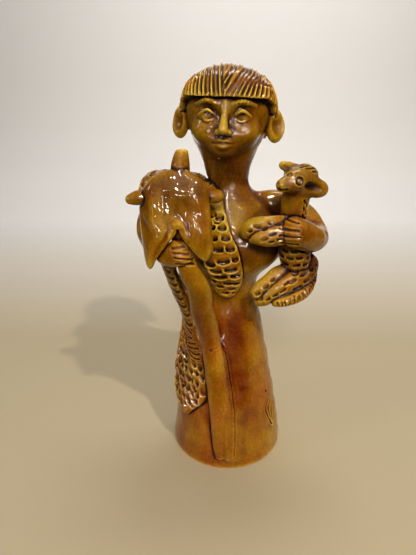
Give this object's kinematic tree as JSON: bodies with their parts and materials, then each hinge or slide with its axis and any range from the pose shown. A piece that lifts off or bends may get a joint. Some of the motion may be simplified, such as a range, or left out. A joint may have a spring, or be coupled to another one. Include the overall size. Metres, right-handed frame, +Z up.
{
  "type": "shepherd saint figurine",
  "caption": "Honey-glazed clay figurine of a robed shepherd saint with a cross-topped staff, a forked pennant, a fleece over one shoulder and a lamb on one arm.",
  "frame": {"origin": "middle of the flat round underside", "axes": "+Z up, from the underside to the top of the hair; the figure faces -Y, so its left side, with the lamb, is towards +X"},
  "size_m": [0.1265, 0.093, 0.2725],
  "materials": {
    "honey_glaze": "transparent honey-brown glaze over red earthenware, glossy, dark where it pools in the cuts"
  },
  "bodies": {
    "root": {"saint_figurine": "honey_glaze"}
  },
  "joints": []
}
